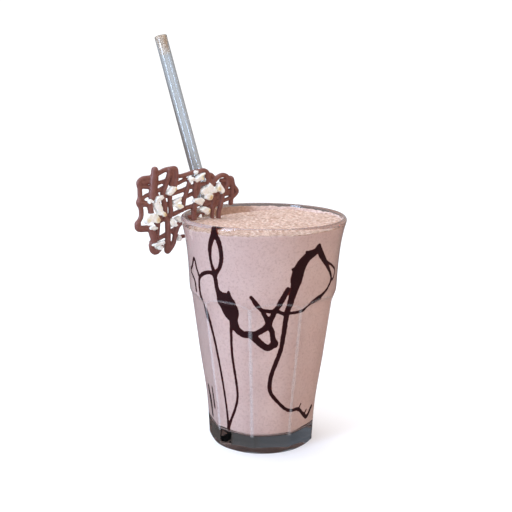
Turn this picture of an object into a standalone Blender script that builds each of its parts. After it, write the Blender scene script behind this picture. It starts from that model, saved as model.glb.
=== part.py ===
"""Chocolate milkshake in a nine-sided tumbler, with a clear straw and a piped chocolate lattice.

Metres, +Z up. The origin is the centre of the tumbler's foot, on the table.
The view of the photograph looks along +Y, with +X to the right.
"""

import math
import random

import bmesh
import bpy
import numpy as np
from mathutils import Matrix, Vector

MM = 0.001

# Tumbler, in millimetres: (radius, height) of the round blank, from the foot to the lip
OUTSIDE = [(27.4, 0), (28.7, 1.2), (29.4, 3.6), (30.8, 24), (34.6, 50), (38.65, 80.5), (39.5, 86),
           (39.95, 94), (40.5, 102), (41.4, 110), (42.7, 117), (43.9, 121.6)]
LIP = [(44.0, 122.7), (43.5, 123.7), (42.9, 124.0), (42.3, 123.7), (41.9, 122.7)]
INSIDE = [(40.2, 117), (38.8, 110), (37.7, 101), (37.2, 92), (36.3, 84), (34.5, 77), (30.9, 50),
          (27.2, 24), (25.9, 13), (25.1, 10), (23, 8.8)]
BOTTOM_INSIDE = 8.6
FACETS = 9
FACET_TURN = -9.8          # degrees from the front to the ridge nearest it, towards -X
FACET_BASE = 3.6           # height of the facets' lower corners
ARCH_FOOT = 80.5           # height where two arches meet on a ridge
ARCH_TOP = 85.0            # height of an arch at its middle
TUMBLER_SIDES = 36         # four to a facet, so that each ridge runs along an edge

# Milkshake
GAP = 0.3                  # clearance between touching pieces
SAUCE_THICKNESS = 0.6      # the drizzle fills the space between the drink and the wall
PER_DEGREE = 0.64          # about what a degree measures along the wall
SPREAD = 1.3               # a stroke of drizzle spreads to this many times the width it was poured
STROKE_STEP = 3.8          # spacing of the points along a stroke of drizzle
STROKE_SINK = 0.2          # how deep its centre line lies in the drink
LEVEL = 120.3              # the drink's surface at the front
DRINK_SIDES = 36

# Straw: its centre line passes STRAW_AT at the height of the rim
STRAW_RADIUS = 3.5
STRAW_WALL = 0.5
STRAW_AT = (-31.8, 21.0, 124.0)
STRAW_SLOPE = (-0.284, 0.2, 1.0)
STRAW_BELOW = 112.5        # reach below and above the rim, measured as height
STRAW_ABOVE = 93.0

# Lattice: a plate of piped strands that stands on the rim
LATTICE_AT = (-42.6, 5.1, 124.0)
LATTICE_TURN = 38.0        # degrees from +X towards +Y
LAYER = 0.6                # half the distance between the upper and the lower strands
CHIP_THICKNESS = 2.2
CHIP_TILT = 0.12           # radians, at most
DIP = 2.4                  # a strand that reaches this far below the drink's level gets room in it
STRAND_STEP = 5.4          # spacing of the points along a strand
THICK = 1.3                # a strand thicker than this radius gets eight sides, the others six


def height_lookup(points, height):
    """Radius of a turned profile at a height."""
    ordered = sorted((z, r) for r, z in points)
    return float(np.interp(height, [z for z, r in ordered], [r for z, r in ordered]))


def inner_radius(height):
    """Radius of the tumbler's inner wall."""
    return height_lookup(INSIDE + LIP[-1:], height)


def level(x, y):
    """Height of the drink's surface: lower round the garnish at the back left, a little proud at the right."""
    dip = 2.0 * math.exp(-((x + 22) ** 2 + (y - 32) ** 2) / 380)
    ripple = 0.25 * math.sin(x / 5.0 + 1.3 * math.sin(y / 7.0))
    return LEVEL + 0.016 * x - dip + ripple


def facet_limit(height, angle):
    """Distance from the axis to the facet that faces an angle, at a height."""
    half = math.pi / FACETS
    first = math.radians(FACET_TURN) + half
    off = (angle - first + half) % (2 * half) - half
    flat = height_lookup(OUTSIDE, max(height, FACET_BASE)) * math.cos(half)
    if height > ARCH_FOOT:
        share = (height - ARCH_FOOT) / (ARCH_TOP - ARCH_FOOT)
        flat += height_lookup(OUTSIDE, ARCH_TOP) * (1 - math.cos(half)) * share ** 2
    return flat / math.cos(off)


def collection(name):
    made = bpy.data.collections.new(name)
    bpy.context.scene.collection.children.link(made)
    return made


def material(name, colour, roughness, metallic=0.0, transmission=0.0, ior=1.5):
    made = bpy.data.materials.new(name)
    made.use_nodes = True
    shader = made.node_tree.nodes["Principled BSDF"]
    shader.inputs["Base Color"].default_value = (*colour, 1)
    shader.inputs["Roughness"].default_value = roughness
    shader.inputs["Metallic"].default_value = metallic
    shader.inputs["Transmission Weight"].default_value = transmission
    shader.inputs["IOR"].default_value = ior
    return made


def add_object(name, mesh, where):
    made = bpy.data.objects.new(name, mesh)
    where.objects.link(made)
    return made


def as_cutter(obj):
    obj.hide_render = True
    obj.display_type = "WIRE"
    return obj


def freeze(obj):
    """Puts what the modifiers or the curve settings make into a plain mesh object of the same name."""
    bpy.context.view_layer.update()
    evaluated = obj.evaluated_get(bpy.context.evaluated_depsgraph_get())
    mesh = bpy.data.meshes.new_from_object(evaluated)
    mesh.transform(obj.matrix_world)
    name = obj.name
    where = obj.users_collection[0]
    bpy.data.objects.remove(obj)
    shape = bmesh.new()
    shape.from_mesh(mesh)
    bmesh.ops.remove_doubles(shape, verts=shape.verts, dist=0.002 * MM)
    shape.to_mesh(mesh)
    shape.free()
    return add_object(name, mesh, where)


def turned(name, profile, sides, where):
    """A solid turned round Z. The profile runs from the axis at the top, down the outside, to the axis."""
    mesh = bpy.data.meshes.new(name)
    points = [(r * MM, 0, z * MM) for r, z in profile]
    mesh.from_pydata(points, [(i, i + 1) for i in range(len(points) - 1)], [])
    obj = add_object(name, mesh, where)
    screw = obj.modifiers.new("Turn", "SCREW")
    screw.steps = screw.render_steps = sides
    screw.use_merge_vertices = True
    screw.merge_threshold = 0.00001
    screw.use_smooth_shade = False
    return freeze(obj)


def boolean(obj, other, operation, solver="EXACT"):
    """Joins or cuts obj with an object or with everything in a collection."""
    cut = obj.modifiers.new(operation.title(), "BOOLEAN")
    cut.operation = operation
    cut.solver = solver
    if isinstance(other, bpy.types.Collection):
        cut.operand_type = "COLLECTION"
        cut.collection = other
    else:
        cut.object = other
    return freeze(obj)


def empty_collection(where):
    for obj in list(where.objects):
        bpy.data.objects.remove(obj)
    bpy.data.collections.remove(where)


def smooth(points, spacing):
    """Points about a spacing apart on a smooth curve through the given ones; every value is carried along."""
    given = np.array(points, float)
    padded = np.vstack([2 * given[0] - given[1], given, 2 * given[-1] - given[-2]])
    made = []
    for a, b, c, d in zip(padded, padded[1:], padded[2:], padded[3:]):
        steps = max(1, round(float(np.linalg.norm((c - b)[:-1])) / spacing))
        for i in range(steps):
            t = i / steps
            made.append(0.5 * (2 * b + (c - a) * t + (2 * a - 5 * b + 4 * c - d) * t ** 2
                               + (3 * b - a - 3 * c + d) * t ** 3))
    return made + [given[-1]]


def round_ends(path):
    """Adds a short narrower stretch at both ends of a path of (x, y, z, radius) rows."""
    first, last = path[0], path[-1]
    out_first = (first - path[1])[:3]
    out_last = (last - path[-2])[:3]
    cap_first = np.append(first[:3] + 0.6 * first[3] * out_first / np.linalg.norm(out_first), 0.55 * first[3])
    cap_last = np.append(last[:3] + 0.6 * last[3] * out_last / np.linalg.norm(out_last), 0.55 * last[3])
    return [cap_first, *path, cap_last]


def tube(name, path, resolution, where, matrix=None):
    """A closed tube along (x, y, z, radius) rows, in millimetres."""
    curve = bpy.data.curves.new(name, "CURVE")
    curve.dimensions = "3D"
    curve.bevel_depth = MM
    curve.bevel_resolution = resolution
    curve.use_fill_caps = True
    spline = curve.splines.new("POLY")
    spline.points.add(len(path) - 1)
    for point, (x, y, z, radius) in zip(spline.points, path):
        point.co = (x * MM, y * MM, z * MM, 1)
        point.radius = radius
    obj = add_object(name, curve, where)
    if matrix is not None:
        obj.matrix_world = matrix
    return freeze(obj)


def make_tumbler(where):
    """A blank turned in one piece, with nine flats pressed into its outside below the arches."""
    rows = [0, 1.2, FACET_BASE, 24, 50, 77, ARCH_FOOT, 82.3, 83.8, ARCH_TOP, 87, 93, 101, 109, 115, 118.5, 121.6]
    outside = [(height_lookup(OUTSIDE, z), z) for z in rows]
    profile = [(0, BOTTOM_INSIDE), *INSIDE[::-1], *LIP[::-1], *outside[::-1], (0, 0)]
    obj = turned("tumbler", profile, TUMBLER_SIDES, where)
    turn = Matrix.Rotation(math.radians(FACET_TURN), 4, "Z")
    obj.data.transform(turn @ Matrix.Rotation(-math.pi / 2, 4, "Z"))
    for vertex in obj.data.vertices:
        x, y, z = vertex.co / MM
        radius = math.hypot(x, y)
        if z > ARCH_TOP or radius < inner_radius(max(z, BOTTOM_INSIDE + 2)) + 0.5 or z < FACET_BASE - 0.1:
            continue
        limit = facet_limit(z, math.atan2(x, -y))
        if limit < radius:
            vertex.co.xy *= limit / radius
    return obj


def drink_profile(clearance, base, height):
    """Profile of what fills the tumbler from a base up to a height, a clearance away from its wall."""
    top = [(r, height) for r in (0, 12, 24, 34, inner_radius(height) - clearance)]
    wall = [(r - clearance, max(z, base + 0.2)) for r, z in INSIDE]
    return top + wall + [(wall[-1][0] - 1.5, base), (0, base)]


# Drizzle on the inside of the glass: strokes of (degrees from the front, height, width), each drawn in one go.
# Angles grow towards +X. Heights and widths are in millimetres.
DRIZZLE = [
    # left run: from the rim round an eye, a thick blob, and along to the middle knot
    [(-35, 119.5, 2.6), (-35, 118, 4), (-37, 115, 3)],
    [(-36, 117, 2.6), (-41, 113.5, 2.3), (-42.3, 109, 1.8), (-41.5, 105, 1.7), (-39.5, 101, 2), (-39, 96, 2),
     (-37, 90, 2)],
    [(-36, 117, 2.4), (-32.7, 115, 2), (-32.3, 110.5, 1.9), (-33.5, 106, 1.9), (-39, 100, 2)],
    [(-36.5, 89, 2.4), (-31, 86, 6.5), (-27.5, 81, 6), (-26, 76, 3.6), (-22.5, 70.5, 3.2), (-16, 68, 2.8),
     (-10, 68, 3), (-6, 65.5, 3), (-0.5, 62.5, 2.8), (5, 60.8, 2.8), (11, 63, 2.8)],
    [(-26.6, 91, 1.6), (-27, 86, 3.5)],
    # two thin runs that meet low on the left
    [(-27, 73, 2), (-28.3, 67, 1.5), (-28.5, 54, 1.5), (-26, 39, 1.5), (-26, 31, 1.5), (-30, 24, 1.5),
     (-36, 17.5, 1.6), (-41.5, 11.5, 2.2)],
    [(-39.5, 100, 1.5), (-44, 99.3, 1.5), (-51, 98, 1.5), (-57.5, 94, 1.5), (-58, 87, 1.5), (-55, 80.5, 1.5),
     (-51, 70, 1.5), (-47, 57, 1.5), (-43.7, 40, 1.5), (-42, 24, 1.5), (-41, 12, 1.8)],
    [(-57.5, 95, 1.4), (-61, 99, 1.4), (-64, 104, 1.4), (-69, 99.5, 1.4), (-73, 96, 1.4), (-66, 92, 1.4),
     (-64, 86.5, 1.4)],
    [(-81, 28, 2.4), (-78, 21, 2.8), (-75, 14, 2)],
    [(-63, 31, 1.6), (-63, 20, 1.8)],
    # middle knot
    [(-8.7, 88.4, 1.5), (-5, 85, 1.9), (-1.5, 82, 1.9), (2, 78, 2), (5, 74, 2.8), (0, 70.7, 2.4),
     (-9, 67.7, 2.4)],
    [(19, 92.4, 2), (15.5, 88, 2.2), (12.3, 84, 2.2), (8.7, 79, 2.2), (5.3, 73.5, 2.6), (8, 69.5, 2.3),
     (9, 66, 2.4), (11, 62.7, 3)],
    [(0, 81.5, 1.8), (6, 80.8, 1.8), (12, 80.6, 1.7), (18, 79, 1.6)],
    # right run: a peak, a wide ribbon that narrows down to the base, and its ragged end
    [(43.3, 114, 1.6), (41, 111, 2.8), (36, 109.5, 3.4), (31.7, 107, 3.8), (28, 103, 4.4), (26, 98, 4.6),
     (24.5, 92.5, 3.2), (22, 86.5, 2.6), (20.3, 79, 2.4), (18.7, 68, 2.2), (16.7, 59, 2.1), (12.7, 52, 2.1),
     (8.7, 45, 2.1), (7.5, 38.5, 2.1), (10, 34, 1.9), (17, 29.5, 1.7), (25, 25.5, 1.6), (32, 23.7, 1.6),
     (43, 23, 1.6), (53, 18.7, 1.8), (62, 16, 2), (71, 20.5, 1.9)],
    [(43, 22.5, 1.5), (47, 25.5, 1)],
    [(55, 17.5, 1.6), (59.5, 20.3, 1)],
    [(36.5, 109.5, 3), (32.5, 111.3, 1.2)],
    [(28, 102.5, 3), (22.5, 102.7, 1.4)],
    [(43, 113, 2.4), (48, 108, 2.7), (56, 102, 1.9), (64.5, 94.5, 1.5), (61, 90, 1.4), (53, 86.8, 1.5),
     (47.5, 85.2, 2.2), (40, 83.5, 1.5), (33, 80.3, 1.6), (25, 79.4, 1.4), (20.5, 79.6, 1.4)],
    [(54, 104.3, 1.2), (64, 101, 1.2), (71, 97.5, 1.2), (69, 93.5, 1.2), (64, 93, 1.2)],
]


def make_milkshake(where, rooms):
    """The drink up to its level, with the drizzle standing proud of its side and room for what dips in."""
    obj = turned("milkshake", drink_profile(GAP + SAUCE_THICKNESS, BOTTOM_INSIDE + GAP, LEVEL), DRINK_SIDES, where)
    for vertex in obj.data.vertices:
        x, y, z = vertex.co / MM
        if z > LEVEL - 0.1:
            vertex.co.z = level(x, y) * MM

    strokes = collection("drizzle")
    for number, stroke in enumerate(DRIZZLE):
        path = []
        for along, z, width in smooth([(a * PER_DEGREE, z, w) for a, z, w in stroke], STROKE_STEP):
            turn = math.radians(along / PER_DEGREE)
            radius = inner_radius(z) - GAP - SAUCE_THICKNESS - STROKE_SINK
            path.append(np.array([radius * math.sin(turn), -radius * math.cos(turn), z, width / 2 * SPREAD]))
        tube(f"stroke_{number}", round_ends(path), 1, strokes)
    obj = boolean(obj, strokes, "UNION")
    empty_collection(strokes)

    envelope = turned("envelope", drink_profile(GAP, BOTTOM_INSIDE + GAP / 2, LEVEL + 1), DRINK_SIDES, where)
    obj = boolean(obj, envelope, "INTERSECT")
    bpy.data.objects.remove(envelope)
    for room in rooms:
        obj = boolean(obj, room, "DIFFERENCE")
    return obj


def straw_matrix():
    """Z along the straw, the origin at its lower end."""
    slope = Vector(STRAW_SLOPE)
    low = (Vector(STRAW_AT) - slope * STRAW_BELOW) * MM
    return Matrix.Translation(low) @ slope.to_track_quat("Z", "Y").to_matrix().to_4x4()


def straw_length():
    return (STRAW_BELOW + STRAW_ABOVE) * Vector(STRAW_SLOPE).length


def make_straw(name, grow, where):
    """The straw, or with grow the cutter that makes room for its wall."""
    low = -grow
    high = straw_length() + grow
    outer = STRAW_RADIUS + grow
    inner = STRAW_RADIUS - STRAW_WALL - grow
    profile = [(inner, low), (inner, high), (outer, high), (outer, low), (inner, low)]
    obj = turned(name, profile, 24, where)
    obj.data.transform(straw_matrix())
    return obj


# Strands of the lattice: (layer, radius, points), in millimetres across the plate and above the rim.
# Layer -1 lies behind, 1 in front.
STRANDS = [
    # outline at the left, the knot on it, and the rungs that start from it
    (-1, 1.3, [(-21, 20), (-25, 20), (-27.5, 18), (-27, 15), (-27, 10), (-28, 7.5), (-26.5, 4.5), (-26.5, 0),
               (-29, -3.5)]),
    (-1, 1.8, [(-28.5, -3.5), (-28, -6), (-23, -6.5)]),
    (0, 1.7, [(-27.5, 8), (-25, 7), (-22.5, 6.5)]),
    (-1, 1.2, [(-25, 20), (-18.5, 20.5)]),
    (-1, 1.2, [(-26.5, 18), (-23, 18), (-19.5, 18.5)]),
    (-1, 1.1, [(-27.5, 16), (-20, 15)]),
    (-1, 1.1, [(-26.5, 9), (-23, 11), (-18.5, 12), (-12.5, 14.5)]),
    (-1, 1.1, [(-18, 16.5), (-11, 18)]),
    (1, 1.9, [(-18.5, 24), (-19.5, 17.5), (-20.5, 9.5)]),
    (-1, 1.3, [(-17, 23.5), (-17, 18), (-18, 12)]),
    (1, 1.6, [(-22, 6.5), (-21.5, 4), (-20.5, -1.5)]),
    (1, 1.2, [(-17.5, 11), (-16.5, 5), (-15.5, 0), (-17, -4.5)]),
    # the hump at the top and what hangs from it
    (-1, 1.3, [(-17, 21.5), (-12, 23.5), (-9, 24)]),
    (1, 1.4, [(-9, 24), (-6, 24), (-5.5, 21.5), (-5.5, 18), (-6.5, 14.5)]),
    (0, 1.3, [(-8, 23), (-7.5, 19), (-8.5, 16)]),
    (1, 1.4, [(-9.5, 23.5), (-10, 21), (-12.5, 14.5), (-14, 11), (-13.5, 8), (-12.5, 3.5), (-12.5, -1.5)]),
    # rungs in the middle
    (-1, 1.2, [(-5, 19.5), (0, 20), (7.5, 21.5), (11, 21.5)]),
    (-1, 1.0, [(-7, 15), (-3.5, 16), (1, 17.5), (8, 18)]),
    (-1, 1.2, [(-13, 9.5), (-5.5, 11), (-1, 12), (4.5, 13.5), (13, 14.5)]),
    (-1, 1.1, [(-13, 5), (-8, 6), (-1, 7.5), (7.5, 10.5), (12, 11.5)]),
    (1, 1.2, [(3, 17), (2, 14), (1, 11), (-0.5, 7.5), (-1, 4.5), (-2, 1.5)]),
    (1, 1.2, [(7, 17), (6.5, 14.5), (6, 9.5), (8, 5)]),
    (0, 1.3, [(8.5, 17), (9, 13), (8, 9.5)]),
    (1, 1.4, [(-9.5, 12), (-9.5, 6), (-9, 2), (-9.5, -1)]),
    # the long rung that rests on the rim
    (-1, 1.3, [(-17.5, -4), (-13, -2.5), (-9, -1), (-4, 0.5), (0, 2), (8.5, 3.5), (17, 6), (20.5, 6.5),
               (25, 8.5)]),
    # strands that dip into the drink, beside the straw
    (1, 1.5, [(6, 3.5), (5.5, -0.5), (5.5, -4)]),
    (1, 1.8, [(5.5, -4), (5.5, -7)]),
    (0, 1.1, [(2.5, -2.5), (5.5, -3), (9, -2), (12, -1.5), (17, 2)]),
    (2, 1.1, [(17, 11), (18, 5.5), (17.5, 2.5), (17, -6.5)]),
    (2, 1.3, [(24.5, 8), (23, 2.5), (21.5, -2), (21.5, -6.5)]),
    (0, 1.1, [(17.5, -0.5), (20.5, 2.5), (26.5, 4.5), (32, 6)]),
    # loops at the right
    (1, 1.3, [(8.5, 21.5), (11, 22), (13.5, 21.5), (15, 19.5), (15, 15)]),
    (-1, 1.4, [(15, 19), (17.5, 19), (19, 17.5), (19, 15.5), (18, 12)]),
    (0, 1.3, [(14.5, 18.5), (16, 17), (17.5, 13)]),
    (1, 1.4, [(18.5, 15.5), (21, 17.5), (23.5, 18.5), (25.5, 18.5), (27.5, 17.5), (28, 15.5), (28, 13.5),
              (26, 10.5), (24.5, 7.5)]),
    (-1, 1.4, [(27.5, 16), (29.5, 16.5), (31.5, 16), (32.5, 12.5), (34.5, 10), (35, 8.5), (33, 6.5),
               (31.5, 5.5), (31, 2.5)]),
    (1, 1.2, [(30.5, 16), (31, 10.5), (31, 5.5)]),
    (-1, 1.2, [(18.5, 14), (25, 12.5), (31, 13)]),
    (-1, 1.3, [(24.5, 15.5), (27.5, 15.5)]),
    (-1, 1.3, [(19.5, 9), (25, 9.5), (31, 9.5)]),
    (-1, 1.1, [(24.5, 7.5), (31, 8)]),
    (0, 1.3, [(13, 3), (17, 4), (21, 4.5), (24.5, 6.5)]),
    # the lower corner, outside the glass
    (1, 1.9, [(-21.5, -6.5), (-20.5, -9.5), (-19.5, -13)]),
    (0, 1.3, [(-16.5, -3.5), (-17, -8), (-17.5, -12.5)]),
    (-1, 1.3, [(-20.5, -14), (-16, -12.5), (-12, -11), (-6, -8.5), (-2.5, -6)]),
    (1, 1.6, [(-11, -3.5), (-11, -12), (-11, -16)]),
    (0, 2.0, [(-11, -15), (-11, -19.5)]),
    (1, 1.4, [(-4.5, -6), (-6.5, -11), (-7.5, -15.5), (-10, -19)]),
    (0, 1.6, [(-21, -15.5), (-20, -18.5), (-18, -19.5), (-15, -17)]),
    (-1, 1.2, [(-6.5, -11), (-3.5, -13), (-0.5, -13)]),
]

# White chocolate chips lying on the strands: (depth, outline across the plate and above the rim)
CHIPS = [
    (1.5, [(-12.5, 11.5), (-10.5, 13.5), (-9, 15), (-6, 15), (-5.5, 13.5), (-6.5, 12), (-8.5, 11), (-10, 10),
           (-12, 10.5)]),
    (1.5, [(-23.5, 7.5), (-23, 9), (-21.5, 9.5), (-20.5, 8), (-23, 6.5)]),
    (1.7, [(-19.5, 7), (-19.5, 9), (-18, 10.5), (-14.5, 11), (-13.5, 9.5), (-15.5, 8), (-17.5, 7)]),
    (1.4, [(-20.5, 7), (-20, 5.5), (-18.5, 2), (-15, 2), (-14.5, 4), (-15.5, 6), (-17, 7.5)]),
    (1.6, [(-18.5, 2.5), (-15, 3), (-13, 1.5), (-12, 0), (-13, -1), (-14.5, -1), (-15, 0), (-18, 0.5)]),
    (1.6, [(-26.5, -1), (-25, 0.5), (-22.5, 2), (-20, 2), (-17, 0), (-15.5, -2.5), (-16.5, -4), (-18, -4),
           (-22.5, -3), (-24, -4), (-26, -3)]),
    (1.4, [(-23, -5.5), (-21.5, -4.5), (-20, -5), (-17, -6.5), (-18, -7), (-21.5, -7.5), (-23, -6.5)]),
    (1.4, [(-11, -3.5), (-9.5, -2), (-8, -2), (-5, -6.5), (-6.5, -7), (-8, -6.5), (-9, -7), (-10, -6)]),
    (-0.3, [(-6.5, -2.5), (-3.5, -1.5), (-2.5, -2), (-3, -6), (-4.5, -4.5)]),
    (1.4, [(-8.5, 6.5), (-6.5, 8), (-2.5, 9), (-2.5, 8), (-3.5, 6.5), (-6, 5.5), (-8, 5.5)]),
    (1.5, [(-9.5, 5), (-5.5, 5.5), (-2, 4.5), (-1.5, 3.5), (-4, 2), (-7, 4), (-8.5, 4)]),
    (1.5, [(-22, -15), (-20.5, -14.5), (-15.5, -13.5), (-13.5, -13.5), (-13, -15), (-15.5, -16), (-21.5, -16)]),
    (1.4, [(-19, -17), (-17.5, -16), (-14.5, -16.5), (-15, -18), (-16, -18.5), (-18, -18)]),
    (0.4, [(-5, -12), (-3.5, -11.5), (-2, -13.5), (-2.5, -15), (-3.5, -15.5), (-5, -15)]),
    (0.8, [(5.5, 21.5), (6.5, 22.3), (9.5, 22), (8, 20.5), (7, 20), (6, 20.5)]),
    (1.5, [(10.5, 21), (12.5, 21), (11, 19.5), (11.5, 17.5), (9.5, 16.5), (6.5, 15.5), (5.5, 16.5), (6, 18),
           (8.5, 20)]),
    (1.3, [(1.5, 18), (2.5, 19.5), (4.5, 19), (6.5, 18), (5.5, 16.5), (4, 17), (2.5, 15.5)]),
    (1.6, [(15, 15.5), (16, 14.5), (17.5, 13.5), (18, 12), (20, 11), (20, 9.5), (18.5, 8.5), (17.5, 6.5),
           (16.5, 5.5), (14.5, 5.5), (12.5, 6.5), (11, 8.5), (9.5, 10), (9.5, 11.5), (12.5, 13), (14, 14)]),
    (1.8, [(21.5, 15), (22.5, 14.5), (25, 11), (25, 9.5), (23, 8), (22, 9.5), (20, 10), (19.5, 12), (20, 14)]),
    (1.6, [(4, 5.5), (4.5, 7), (6.5, 7.5), (10.5, 7.5), (12, 6), (11.5, 4.5), (10.5, 3), (9.5, 3), (7.5, 4)]),
    (1.6, [(8.5, 1), (10, 2), (11.5, 2.5), (14, 2), (15.5, 1), (16, -0.5), (14.5, -2.5), (13.5, -2.5),
           (11.5, -1), (10, -0.5)]),
    (1.2, [(8, -3), (9, -2), (10, -1.5), (10.5, -3), (9, -4)]),
]


def lattice_matrix():
    """X across the plate towards the glass, Y up, Z towards the viewer."""
    turn = math.radians(LATTICE_TURN)
    across = Vector((math.cos(turn), math.sin(turn), 0))
    up = Vector((0, 0, 1))
    frame = Matrix((across, up, across.cross(up))).transposed().to_4x4()
    return Matrix.Translation(Vector(LATTICE_AT) * MM) @ frame


def chip(name, depth, outline, seed, where):
    """A broken shard of chocolate: an outline with some thickness, a little tilted."""
    draw = random.Random(seed)
    middle = np.mean(outline, axis=0)
    curve = bpy.data.curves.new(name, "CURVE")
    curve.dimensions = "2D"
    curve.fill_mode = "BOTH"
    curve.extrude = CHIP_THICKNESS / 2 * MM
    spline = curve.splines.new("POLY")
    spline.use_cyclic_u = True
    spline.points.add(len(outline) - 1)
    for point, (across, above) in zip(spline.points, outline):
        point.co = ((across - middle[0]) * MM, (above - middle[1]) * MM, 0, 1)
    obj = add_object(name, curve, where)
    tilt = [Matrix.Rotation(draw.uniform(-CHIP_TILT, CHIP_TILT), 4, axis) for axis in "XY"]
    place = Matrix.Translation((middle[0] * MM, middle[1] * MM, depth * MM))
    obj.matrix_world = lattice_matrix() @ place @ tilt[0] @ tilt[1]
    return freeze(obj)


def make_strands(name, grow, where):
    """The lattice with its chips as one solid, or with grow the cutter that makes room for the strands that dip."""
    parts = collection(f"{name}_parts")
    for number, (layer, radius, points) in enumerate(STRANDS):
        if grow and min(y for x, y in points) > LEVEL - LATTICE_AT[2] - DIP:
            continue
        path = smooth([(x, y, layer * LAYER, radius + grow) for x, y in points], STRAND_STEP)
        tube(f"{name}_{number}", round_ends(path), 2 if radius > THICK else 1, parts, lattice_matrix())
    if not grow:
        for number, (depth, outline) in enumerate(CHIPS):
            chip(f"{name}_chip_{number}", depth, outline, number, parts)
    obj = parts.objects[0]
    parts.objects.unlink(obj)
    where.objects.link(obj)
    obj = boolean(obj, parts, "UNION")
    empty_collection(parts)
    obj.name = name
    return obj


def make_lattice(where):
    """The lattice stands astride the rim, so the wall's thickness plus a clearance is cut out of it."""
    obj = make_strands("chocolate_lattice", 0, where)
    outer = [(height_lookup(OUTSIDE, z) + GAP, z) for z in (100, 106, 110, 114, 117, 119.5, 121.6)]
    lip = [(44.0 + GAP, 122.8), (43.6, 123.9 + GAP), (42.9, 124.0 + GAP), (42.2, 123.9 + GAP),
           (41.9 - GAP, 122.8)]
    inner = [(inner_radius(z) - GAP, z) for z in (117, 110, 100)]
    ring = turned("rim_room", [*lip[::-1], *outer[::-1], *inner[::-1], lip[-1]], TUMBLER_SIDES, where)
    obj = boolean(obj, ring, "DIFFERENCE")
    bpy.data.objects.remove(ring)
    return obj


def finish(obj, look, angle=35):
    obj.data.materials.clear()
    obj.data.materials.append(look)
    obj.data.shade_smooth()
    obj.data.set_sharp_from_angle(angle=math.radians(angle))


def main():
    for obj in list(bpy.data.objects):
        bpy.data.objects.remove(obj)
    parts = collection("chocolate_milkshake")
    cutters = collection("cutters")

    straw_room = as_cutter(make_straw("straw_room", GAP, cutters))
    strand_room = as_cutter(make_strands("strand_room", GAP, cutters))

    tumbler = make_tumbler(parts)
    milkshake = make_milkshake(parts, (straw_room, strand_room))
    straw = make_straw("straw", 0, parts)
    lattice = make_lattice(parts)

    finish(tumbler, material("clear_glass", (0.9, 0.93, 0.95), 0.03, transmission=1.0))
    finish(milkshake, material("milkshake", (0.55, 0.4, 0.38), 0.5))
    finish(straw, material("clear_plastic", (0.85, 0.9, 0.95), 0.08, transmission=0.9, ior=1.49))
    finish(lattice, material("milk_chocolate", (0.27, 0.11, 0.085), 0.4))


main()
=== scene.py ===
import math
import random
import time

import bmesh
import bpy
import numpy as np
from mathutils import Matrix, Vector, noise


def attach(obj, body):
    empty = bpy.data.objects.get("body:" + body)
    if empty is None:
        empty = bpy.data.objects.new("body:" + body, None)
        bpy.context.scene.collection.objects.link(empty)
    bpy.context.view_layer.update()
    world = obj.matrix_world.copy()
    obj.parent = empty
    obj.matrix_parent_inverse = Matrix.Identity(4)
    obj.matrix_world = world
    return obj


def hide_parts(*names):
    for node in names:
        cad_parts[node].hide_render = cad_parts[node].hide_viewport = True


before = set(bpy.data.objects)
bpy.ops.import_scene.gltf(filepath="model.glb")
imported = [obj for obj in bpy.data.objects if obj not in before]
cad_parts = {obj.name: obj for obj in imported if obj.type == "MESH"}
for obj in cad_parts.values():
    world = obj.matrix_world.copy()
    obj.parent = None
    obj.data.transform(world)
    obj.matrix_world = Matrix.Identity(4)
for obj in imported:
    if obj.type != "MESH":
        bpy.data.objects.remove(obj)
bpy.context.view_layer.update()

# Chocolate milkshake in a pressed glass tumbler, seen from just above the rim.
# Sizes are millimetres, turned into metres where a mesh is made. Angles on the wall
# are degrees from the front, growing towards +X.
mm = 0.001
began = time.perf_counter()


def hexColour(code):
    # sRGB hex to the linear values that shaders take
    values = [int(code[i:i + 2], 16) / 255 for i in (1, 3, 5)]
    return [v / 12.92 if v <= 0.04045 else ((v + 0.055) / 1.055) ** 2.4 for v in values] + [1.0]


def addNode(tree, kind, links=None, stops=None, **settings):
    # links: socket name or number to a value or to another node's output
    node = tree.nodes.new(kind)
    for name, value in settings.items():
        setattr(node, name, value)
    for name, value in (links or {}).items():
        if isinstance(value, bpy.types.NodeSocket):
            tree.links.new(value, node.inputs[name])
        else:
            node.inputs[name].default_value = value
    if stops:
        ramp = node.color_ramp
        while len(ramp.elements) < len(stops):
            ramp.elements.new(0.5)
        for element, (place, colour) in zip(ramp.elements, stops):
            element.position = place
            element.color = hexColour(colour)
    return node


def newMaterial(name, colour, **sockets):
    # Principled shader with a base colour and whatever sockets are given
    material = bpy.data.materials.new(name)
    material.use_nodes = True
    shader = material.node_tree.nodes["Principled BSDF"]
    shader.inputs["Base Color"].default_value = hexColour(colour)
    for socket, value in sockets.items():
        shader.inputs[socket.replace("_", " ")].default_value = value
    return material, material.node_tree, shader


def addNoise(tree, sizeMm, detail, roughness=0.5):
    # noise with features of about this size, which stays with the piece
    coords = addNode(tree, "ShaderNodeTexCoord")
    return addNode(tree, "ShaderNodeTexNoise", {"Vector": coords.outputs["Object"],
                                                "Scale": 1 / (sizeMm * mm), "Detail": detail,
                                                "Roughness": roughness}).outputs["Fac"]


def addRamp(tree, factor, stops):
    return addNode(tree, "ShaderNodeValToRGB", {"Fac": factor}, stops=stops).outputs["Color"]


def addRange(tree, value, low, high, newLow=0.0, newHigh=1.0):
    # Map Range: sockets 1 and 2 are the range it comes from, 3 and 4 the range it goes to
    links = {0: value, 1: low, 2: high, 3: newLow, 4: newHigh}
    return addNode(tree, "ShaderNodeMapRange", links).outputs[0]


def addMix(tree, factor, first, second, blend="MIX"):
    # Mix for colours, whose sockets are 6 and 7 and whose result is 2
    return addNode(tree, "ShaderNodeMix", {0: factor, 6: first, 7: second}, data_type="RGBA",
                   blend_type=blend).outputs[2]


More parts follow.
